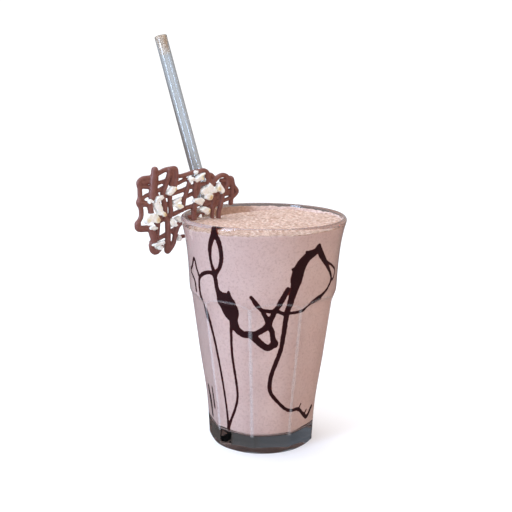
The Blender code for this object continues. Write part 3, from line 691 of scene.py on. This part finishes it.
# The lattice: milk chocolate piped on paper, stood on the rim across the glass.
# Strands of (layer, radius, points across the plate and above the rim); layer -1 lies behind, 1 in
# front.
lattice = {
    "at": (-42.6, 5.1, 124.0),
    "turn": 38.0,
    "layer": 0.6,
    "voxel": 0.3,
    "uneven": 0.09,           # how much a strand's width varies
    "around": 12,
    "pathStep": 0.7,
    "strands": [
        # outline at the left, the knot on it, and the rungs that start from it
        (-1, 1.3, [(-21, 20), (-25, 20), (-27.5, 18), (-27, 15), (-27, 10), (-28, 7.5), (-26.5, 4.5),
                   (-26.5, 0), (-29, -3.5)]),
        (-1, 1.8, [(-28.5, -3.5), (-28, -6), (-23, -6.5)]),
        (0, 1.7, [(-27.5, 8), (-25, 7), (-22.5, 6.5)]),
        (-1, 1.2, [(-25, 20), (-18.5, 20.5)]),
        (-1, 1.2, [(-26.5, 18), (-23, 18), (-19.5, 18.5)]),
        (-1, 1.1, [(-27.5, 16), (-20, 15)]),
        (-1, 1.1, [(-26.5, 9), (-23, 11), (-18.5, 12), (-12.5, 14.5)]),
        (-1, 1.1, [(-18, 16.5), (-11, 18)]),
        (1, 1.9, [(-18.5, 24), (-19.5, 17.5), (-20.5, 9.5)]),
        (-1, 1.3, [(-17, 23.5), (-17, 18), (-18, 12)]),
        (1, 1.6, [(-22, 6.5), (-21.5, 4), (-20.5, -1.5)]),
        (1, 1.2, [(-17.5, 11), (-16.5, 5), (-15.5, 0), (-17, -4.5)]),
        # the hump at the top and what hangs from it
        (-1, 1.3, [(-17, 21.5), (-12, 23.5), (-9, 24)]),
        (1, 1.4, [(-9, 24), (-6, 24), (-5.5, 21.5), (-5.5, 18), (-6.5, 14.5)]),
        (0, 1.3, [(-8, 23), (-7.5, 19), (-8.5, 16)]),
        (1, 1.4, [(-9.5, 23.5), (-10, 21), (-12.5, 14.5), (-14, 11), (-13.5, 8), (-12.5, 3.5),
                  (-12.5, -1.5)]),
        # rungs in the middle
        (-1, 1.2, [(-5, 19.5), (0, 20), (7.5, 21.5), (11, 21.5)]),
        (-1, 1.0, [(-7, 15), (-3.5, 16), (1, 17.5), (8, 18)]),
        (-1, 1.2, [(-13, 9.5), (-5.5, 11), (-1, 12), (4.5, 13.5), (13, 14.5)]),
        (-1, 1.1, [(-13, 5), (-8, 6), (-1, 7.5), (7.5, 10.5), (12, 11.5)]),
        (1, 1.2, [(3, 17), (2, 14), (1, 11), (-0.5, 7.5), (-1, 4.5), (-2, 1.5)]),
        (1, 1.2, [(7, 17), (6.5, 14.5), (6, 9.5), (8, 5)]),
        (0, 1.3, [(8.5, 17), (9, 13), (8, 9.5)]),
        (1, 1.4, [(-9.5, 12), (-9.5, 6), (-9, 2), (-9.5, -1)]),
        # the long rung that rests on the rim
        (-1, 1.3, [(-17.5, -4), (-13, -2.5), (-9, -1), (-4, 0.5), (0, 2), (8.5, 3.5), (17, 6),
                   (20.5, 6.5), (25, 8.5)]),
        # strands that dip into the drink, beside the straw
        (1, 1.5, [(6, 3.5), (5.5, -0.5), (5.5, -4)]),
        (1, 1.8, [(5.5, -4), (5.5, -7)]),
        (0, 1.1, [(2.5, -2.5), (5.5, -3), (9, -2), (12, -1.5), (17, 2)]),
        (2, 1.1, [(17, 11), (18, 5.5), (17.5, 2.5), (17, -6.5)]),
        (2, 1.3, [(24.5, 8), (23, 2.5), (21.5, -2), (21.5, -6.5)]),
        (0, 1.1, [(17.5, -0.5), (20.5, 2.5), (26.5, 4.5), (32, 6)]),
        # loops at the right
        (1, 1.3, [(8.5, 21.5), (11, 22), (13.5, 21.5), (15, 19.5), (15, 15)]),
        (-1, 1.4, [(15, 19), (17.5, 19), (19, 17.5), (19, 15.5), (18, 12)]),
        (0, 1.3, [(14.5, 18.5), (16, 17), (17.5, 13)]),
        (1, 1.4, [(18.5, 15.5), (21, 17.5), (23.5, 18.5), (25.5, 18.5), (27.5, 17.5), (28, 15.5),
                  (28, 13.5), (26, 10.5), (24.5, 7.5)]),
        (-1, 1.4, [(27.5, 16), (29.5, 16.5), (31.5, 16), (32.5, 12.5), (34.5, 10), (35, 8.5), (33, 6.5),
                   (31.5, 5.5), (31, 2.5)]),
        (1, 1.2, [(30.5, 16), (31, 10.5), (31, 5.5)]),
        (-1, 1.2, [(18.5, 14), (25, 12.5), (31, 13)]),
        (-1, 1.3, [(24.5, 15.5), (27.5, 15.5)]),
        (-1, 1.3, [(19.5, 9), (25, 9.5), (31, 9.5)]),
        (-1, 1.1, [(24.5, 7.5), (31, 8)]),
        (0, 1.3, [(13, 3), (17, 4), (21, 4.5), (24.5, 6.5)]),
        # the lower corner, outside the glass
        (1, 1.9, [(-21.5, -6.5), (-20.5, -9.5), (-19.5, -13)]),
        (0, 1.3, [(-16.5, -3.5), (-17, -8), (-17.5, -12.5)]),
        (-1, 1.3, [(-20.5, -14), (-16, -12.5), (-12, -11), (-6, -8.5), (-2.5, -6)]),
        (1, 1.6, [(-11, -3.5), (-11, -12), (-11, -16)]),
        (0, 2.0, [(-11, -15), (-11, -19.5)]),
        (1, 1.4, [(-4.5, -6), (-6.5, -11), (-7.5, -15.5), (-10, -19)]),
        (0, 1.6, [(-21, -15.5), (-20, -18.5), (-18, -19.5), (-15, -17)]),
        (-1, 1.2, [(-6.5, -11), (-3.5, -13), (-0.5, -13)]),
    ],
}


def latticeMatrix():
    # X across the plate towards the glass, Y up, Z towards the viewer
    turn = math.radians(lattice["turn"])
    across, up = Vector((math.cos(turn), math.sin(turn), 0)), Vector((0, 0, 1))
    axes = Matrix((across, up, across.cross(up))).transposed().to_4x4()
    return Matrix.Translation(Vector(lattice["at"]) * mm) @ axes


def makeChocolateMaterial():
    # Milk chocolate, melted, piped and set: satin, reddish brown, paler where it catches the light,
    # with a faint bloom and small dents
    material, tree, shader = newMaterial("milk chocolate, piped", "#7d4f47", Roughness=0.32, IOR=1.5,
                                         Subsurface_Weight=0.03, Subsurface_Scale=1.0,
                                         Subsurface_Radius=(0.8 * mm, 0.4 * mm, 0.3 * mm))
    bloom = addNoise(tree, 4, 5.0, 0.65)
    tone = addRamp(tree, bloom, [(0.3, "#764840"), (0.7, "#8a5b52")])
    tree.links.new(tone, shader.inputs["Base Color"])
    tree.links.new(addRange(tree, bloom, 0.3, 0.7, 0.26, 0.42), shader.inputs["Roughness"])
    addBump(tree, shader, addNoise(tree, 1.3, 3.0), 0.4, 0.12)
    return material


def strandTube(points, faces, layer, radius, route, draw):
    # a tube with round ends whose width breathes as the hand moved
    path = smoothPath([(x, y, layer * lattice["layer"], radius) for x, y in route], lattice["pathStep"])
    steps = np.diff(path[:, :3], axis=0)
    ways = np.vstack([steps, steps[-1:]])
    ways[1:-1] = steps[:-1] + steps[1:]
    ways /= np.linalg.norm(ways, axis=1)[:, None]
    phase = draw.uniform(0, 20)
    rings = []
    for at, way in zip(path, ways):
        width = at[3] * (1 + lattice["uneven"] * noise.noise(Vector((at[0] / 3, at[1] / 3, phase))))
        rings.append((at[:3], way, width))
    caps = [(-0.95, 0.3), (-0.8, 0.6), (-0.5, 0.87)]
    (at, way, width), (endAt, endWay, endWidth) = rings[0], rings[-1]
    first = [(at + way * width * k, way, width * w) for k, w in caps]
    last = [(endAt - endWay * endWidth * k, endWay, endWidth * w) for k, w in caps[::-1]]
    rings = first + rings + last
    around, start = lattice["around"], len(points)
    for at, way, width in rings:
        side = np.cross(way, (0, 0, 1))
        side /= np.linalg.norm(side)
        lift = np.cross(side, way)
        for j in range(around):
            turn = j * 2 * math.pi / around
            points.append((at + side * math.cos(turn) * width + lift * math.sin(turn) * width) * mm)
    for i in range(len(rings) - 1):
        a, b = start + i * around, start + (i + 1) * around
        faces += [(a + j, b + j, b + (j + 1) % around, a + (j + 1) % around) for j in range(around)]
    faces.append(tuple(start + j for j in range(around)))
    faces.append(tuple(start + (len(rings) - 1) * around + j for j in range(around))[::-1])


def makeLattice():
    draw = random.Random(7)
    points, faces = [], []
    for layer, radius, route in lattice["strands"]:
        strandTube(points, faces, layer, radius, route, draw)
    piece = addPiece("piped_chocolate", points, faces, makeChocolateMaterial())
    melt = piece.modifiers.new("Melt", "REMESH")
    melt.mode = "VOXEL"
    melt.voxel_size = lattice["voxel"] * mm
    melt.use_smooth_shade = True
    soften = piece.modifiers.new("Soften", "SMOOTH")
    soften.iterations = 4
    soften.factor = 0.5
    applied(piece)
    piece.data.transform(latticeMatrix())
    return dress(piece, "chocolate_lattice")


# White chocolate chips on the strands: (depth, outline across the plate and above the rim)
chips = {
    "outlines": [
        (1.5, [(-12.5, 11.5), (-10.5, 13.5), (-9, 15), (-6, 15), (-5.5, 13.5), (-6.5, 12), (-8.5, 11),
               (-10, 10), (-12, 10.5)]),
        (1.5, [(-23.5, 7.5), (-23, 9), (-21.5, 9.5), (-20.5, 8), (-23, 6.5)]),
        (1.7, [(-19.5, 7), (-19.5, 9), (-18, 10.5), (-14.5, 11), (-13.5, 9.5), (-15.5, 8), (-17.5, 7)]),
        (1.4, [(-20.5, 7), (-20, 5.5), (-18.5, 2), (-15, 2), (-14.5, 4), (-15.5, 6), (-17, 7.5)]),
        (1.6, [(-18.5, 2.5), (-15, 3), (-13, 1.5), (-12, 0), (-13, -1), (-14.5, -1), (-15, 0),
               (-18, 0.5)]),
        (1.6, [(-26.5, -1), (-25, 0.5), (-22.5, 2), (-20, 2), (-17, 0), (-15.5, -2.5), (-16.5, -4),
               (-18, -4), (-22.5, -3), (-24, -4), (-26, -3)]),
        (1.4, [(-23, -5.5), (-21.5, -4.5), (-20, -5), (-17, -6.5), (-18, -7), (-21.5, -7.5),
               (-23, -6.5)]),
        (1.4, [(-11, -3.5), (-9.5, -2), (-8, -2), (-5, -6.5), (-6.5, -7), (-8, -6.5), (-9, -7),
               (-10, -6)]),
        (-0.3, [(-6.5, -2.5), (-3.5, -1.5), (-2.5, -2), (-3, -6), (-4.5, -4.5)]),
        (1.4, [(-8.5, 6.5), (-6.5, 8), (-2.5, 9), (-2.5, 8), (-3.5, 6.5), (-6, 5.5), (-8, 5.5)]),
        (1.5, [(-9.5, 5), (-5.5, 5.5), (-2, 4.5), (-1.5, 3.5), (-4, 2), (-7, 4), (-8.5, 4)]),
        (1.5, [(-22, -15), (-20.5, -14.5), (-15.5, -13.5), (-13.5, -13.5), (-13, -15), (-15.5, -16),
               (-21.5, -16)]),
        (1.4, [(-19, -17), (-17.5, -16), (-14.5, -16.5), (-15, -18), (-16, -18.5), (-18, -18)]),
        (0.4, [(-5, -12), (-3.5, -11.5), (-2, -13.5), (-2.5, -15), (-3.5, -15.5), (-5, -15)]),
        (0.8, [(5.5, 21.5), (6.5, 22.3), (9.5, 22), (8, 20.5), (7, 20), (6, 20.5)]),
        (1.5, [(10.5, 21), (12.5, 21), (11, 19.5), (11.5, 17.5), (9.5, 16.5), (6.5, 15.5), (5.5, 16.5),
               (6, 18), (8.5, 20)]),
        (1.3, [(1.5, 18), (2.5, 19.5), (4.5, 19), (6.5, 18), (5.5, 16.5), (4, 17), (2.5, 15.5)]),
        (1.4, [(9.5, 10), (9.5, 11.5), (12.5, 13.3), (14.5, 12.5), (14.3, 9), (11.2, 8.5)]),
        (1.8, [(21.5, 15), (22.5, 14.5), (25, 11), (25, 9.5), (23, 8), (22, 9.5), (20, 10), (19.5, 12),
               (20, 14)]),
        (1.6, [(4, 5.5), (4.5, 7), (6.5, 7.5), (10.5, 7.5), (12, 6), (11.5, 4.5), (10.5, 3), (9.5, 3),
               (7.5, 4)]),
        (1.6, [(8.5, 1), (10, 2), (11.5, 2.5), (14, 2), (15.5, 1), (16, -0.5), (14.5, -2.5),
               (13.5, -2.5), (11.5, -1), (10, -0.5)]),
        (1.2, [(8, -3), (9, -2), (10, -1.5), (10.5, -3), (9, -4)]),
        (1.8, [(13, 12.3), (13.8, 14), (15, 15.5), (16, 14.5), (17.5, 13.5), (18, 12), (20, 11),
               (20, 9.5), (16.8, 9), (14, 9.8)]),
        (1.5, [(12.2, 9), (12.3, 6.8), (14.5, 5.5), (16.5, 5.5), (17.5, 6.5), (18.6, 8.8), (15, 9.6)]),
    ],
    # toasted places: (across, above, radius, how much)
    "toasted": [(-6, 13.2, 1.3, 1.0), (-12.8, 0.5, 1.8, 0.9), (-17, -2, 1.9, 0.8), (-23.5, -1.9, 1.2, 0.5),
                (11, 18.5, 1.6, 0.8), (15.8, 7, 1.4, 0.9), (15.3, 0, 1.3, 0.9), (21, 11.5, 1.3, 0.8),
                (-4.5, 4.5, 1.7, 0.5)],
    "thickness": 2.2,
    "front": 0.86,            # size of a chip's front against its back
    "tilt": 0.12,
    "voxel": 0.24,
    "rough": 0.3,
}


def makeChipMaterial():
    # White chocolate, chopped: ivory white and waxy, yellow to toasted tan in places
    material, tree, shader = newMaterial("white chocolate, chopped", "#f6f8ef", Roughness=0.45, IOR=1.45,
                                         Subsurface_Weight=0.1, Subsurface_Scale=1.0,
                                         Subsurface_Radius=(1.5 * mm, 1.2 * mm, 0.8 * mm))
    toast = addAttribute(tree, "toast")
    tone = addRamp(tree, toast, [(0.1, "#fbfcf6"), (0.5, "#f5ecc9"), (0.95, "#dab689")])
    tree.links.new(tone, shader.inputs["Base Color"])
    addBump(tree, shader, addNoise(tree, 0.7, 3.0), 0.4, 0.15)
    return material


def addShard(shape, number, depth, outline):
    # a slab with the outline, its front smaller and uneven as if broken
    tiltDraw, draw = random.Random(number), random.Random(70 + number)
    middle, half, shrink = np.mean(outline, axis=0), chips["thickness"] / 2, chips["front"]
    shard = bmesh.new()
    back = [shard.verts.new((x - middle[0], y - middle[1], -half)) for x, y in outline]
    front = [shard.verts.new(((x - middle[0]) * shrink, (y - middle[1]) * shrink,
                              half + draw.uniform(-0.5, 0.2))) for x, y in outline]
    crown = shard.verts.new((draw.uniform(-0.5, 0.5), draw.uniform(-0.5, 0.5), half + 0.1))
    count = len(outline)
    shard.faces.new(back[::-1])
    for i in range(count):
        following = (i + 1) % count
        shard.faces.new((back[i], back[following], front[following], front[i]))
        shard.faces.new((front[i], front[following], crown))
    tilts = [Matrix.Rotation(tiltDraw.uniform(-chips["tilt"], chips["tilt"]), 4, axis) for axis in "XY"]
    place = Matrix.Translation((middle[0], middle[1], depth))
    shard.transform(Matrix.Scale(mm, 4) @ place @ tilts[0] @ tilts[1])
    bmesh.ops.recalc_face_normals(shard, faces=shard.faces)
    part = bpy.data.meshes.new("shard")
    shard.to_mesh(part)
    shard.free()
    shape.from_mesh(part)
    bpy.data.meshes.remove(part)


def makeChips():
    shape = bmesh.new()
    for number, (depth, outline) in enumerate(chips["outlines"]):
        addShard(shape, number, depth, outline)
    mesh = bpy.data.meshes.new("white_chips")
    shape.to_mesh(mesh)
    shape.free()
    mesh.materials.append(makeChipMaterial())
    piece = addObject("white_chips", mesh)
    merge = piece.modifiers.new("Merge", "REMESH")
    merge.mode = "VOXEL"
    merge.voxel_size = chips["voxel"] * mm
    applied(piece)
    mesh = piece.data
    toasted = []
    for vertex in mesh.vertices:
        at = vertex.co / mm
        push = chips["rough"] * (noise.noise(at / 1.9) + 0.4 * noise.noise(at / 0.8))
        vertex.co += vertex.normal * push * mm
        toasted.append(max(much * min(max(1.4 - math.hypot(at.x - x, at.y - y) / radius, 0), 1)
                           for x, y, radius, much in chips["toasted"]))
    storeValues(mesh, "toast", toasted)
    soften = piece.modifiers.new("Soften", "SMOOTH")
    soften.iterations = 1
    applied(piece)
    piece.data.transform(latticeMatrix())
    return dress(piece, "chocolate_lattice")


# Studio: the viewpoint of the picture, a white floor, a cool tall window at the left and a warm
# dim room at the right, all in metres. Softboxes: degrees from the front, distance and height of
# the middle, then width, height, radiance and colour.
studio = {
    "distance": 0.460,
    "height": 0.2001,
    "pitch": 12.09,
    "yaw": -0.489,
    "roll": 0.50,
    "lens": 61.58,
    "floor": 1.6,
    "window": (-52, 0.95, 0.50, 0.26, 0.85, 11.0, "#c8dfff"),
    "front": (8, 1.2, 0.75, 0.9, 0.6, 1.6, "#eef1fb"),
    "room": (70, 0.95, 0.35, 0.5, 0.5, 1.6, "#ffd2a8"),
    "sun": 1.3,
    "sunSpread": 60,          # degrees
    "sunTurn": (-12, -10, 0),
    "sky": 1.15,
}


def makeCamera():
    data = bpy.data.cameras.new("camera")
    data.sensor_width = 36
    data.lens = studio["lens"]
    data.clip_start = 0.01
    camera = addObject("camera", data)
    pitch, yaw, roll = (math.radians(studio[k]) for k in ("pitch", "yaw", "roll"))
    ahead = Vector((math.sin(yaw) * math.cos(pitch), math.cos(yaw) * math.cos(pitch), -math.sin(pitch)))
    right = Vector((math.cos(yaw), -math.sin(yaw), 0))
    up = right.cross(ahead)
    rolledRight = right * math.cos(roll) + up * math.sin(roll)
    rolledUp = up * math.cos(roll) - right * math.sin(roll)
    axes = Matrix((rolledRight, rolledUp, -ahead)).transposed().to_4x4()
    camera.matrix_world = Matrix.Translation((0, -studio["distance"], studio["height"])) @ axes
    bpy.context.scene.camera = camera


def addSoftbox(name, spec, mirrored=True):
    degrees, distance, up, width, height, radiance, colour = spec
    data = bpy.data.lights.new(name, "AREA")
    data.shape = "RECTANGLE"
    data.size = width
    data.size_y = height
    data.energy = radiance * math.pi * width * height
    data.color = hexColour(colour)[:3]
    lamp = addObject(name, data)
    a = math.radians(degrees)
    lamp.location = (distance * math.sin(a), -distance * math.cos(a), up)
    lamp.rotation_euler = (Vector((0, 0, 0.09)) - lamp.location).to_track_quat("-Z", "Y").to_euler()
    lamp.visible_camera = False
    lamp.visible_glossy = mirrored


def makeFloor():
    # white to the eye; it sends back less light than it shows, and the glass mirrors it dark
    material, tree, shader = newMaterial("studio floor, matt white", "#fcfcfc", Roughness=0.9)
    path = addNode(tree, "ShaderNodeLightPath").outputs
    seen = addMix(tree, path["Is Transmission Ray"], hexColour("#3f3a38"), hexColour("#6e615c"))
    sent = addMix(tree, path["Is Diffuse Ray"], seen, hexColour("#c9c2bc"))
    tone = addMix(tree, path["Is Camera Ray"], sent, hexColour("#fcfcfc"))
    tree.links.new(tone, shader.inputs["Base Color"])
    size, below = studio["floor"], -0.0001
    corners = [(-size, -size, below), (size, -size, below), (size, size, below), (-size, size, below)]
    addPiece("studio_floor", corners, [(0, 1, 2, 3)], material)


def makeSky():
    # cool at the left, warm and dimmer at the right, brightest overhead
    world = bpy.data.worlds.new("studio")
    bpy.context.scene.world = world
    world.use_nodes = True
    tree = world.node_tree
    fill = tree.nodes["Background"]
    fill.inputs["Strength"].default_value = studio["sky"]
    coords = addNode(tree, "ShaderNodeTexCoord")
    way = addNode(tree, "ShaderNodeSeparateXYZ", {0: coords.outputs["Generated"]}).outputs
    sideTone = addRamp(tree, addRange(tree, way["X"], -1.0, 1.0),
                       [(0.0, "#dbebff"), (0.5, "#e9ecf2"), (1.0, "#c4b1a2")])
    height = addRange(tree, way["Z"], -0.2, 1.0)
    heightTone = addRamp(tree, height, [(0.0, "#b4b4b4"), (0.17, "#c4c4c4"), (0.4, "#d2d2d2"),
                                        (0.7, "#f4f4f4"), (1.0, "#ffffff")])
    # what the glass shows is darker overhead, which draws the rim's dark lines
    shownTone = addRamp(tree, height, [(0.0, "#b4b4b4"), (0.17, "#c4c4c4"), (0.33, "#b9b9b9"),
                                       (0.5, "#7c7c7c"), (1.0, "#6c6c6c")])
    path = addNode(tree, "ShaderNodeLightPath").outputs
    shown = addNode(tree, "ShaderNodeMath", {0: path["Is Glossy Ray"], 1: path["Is Transmission Ray"]},
                    operation="MAXIMUM")
    either = addMix(tree, shown.outputs[0], heightTone, shownTone)
    tree.links.new(addMix(tree, 1.0, sideTone, either, "MULTIPLY"), fill.inputs["Color"])
    # the backdrop itself is plain white
    white = addNode(tree, "ShaderNodeBackground", {"Color": hexColour("#ffffff"), "Strength": 1.1})
    mix = addNode(tree, "ShaderNodeMixShader", {0: path["Is Camera Ray"], 1: fill.outputs[0],
                                                2: white.outputs[0]})
    tree.links.new(mix.outputs[0], tree.nodes["World Output"].inputs["Surface"])


def makeStudio():
    makeCamera()
    makeFloor()
    makeSky()
    addSoftbox("tall_window", studio["window"])
    addSoftbox("front_fill", studio["front"], mirrored=False)
    addSoftbox("warm_room", studio["room"])
    data = bpy.data.lights.new("soft_top", "SUN")
    data.energy = studio["sun"]
    data.angle = math.radians(studio["sunSpread"])
    top = addObject("soft_top", data)
    top.rotation_euler = [math.radians(turn) for turn in studio["sunTurn"]]
    bpy.context.scene.view_settings.view_transform = "Standard"
    print("made the studio")


makeStudio()
makeTumbler()
makeEdgeHighlights()
makeDrink()
makeFilm()
makeSauce()
makeStraw()
makeLattice()
makeChips()
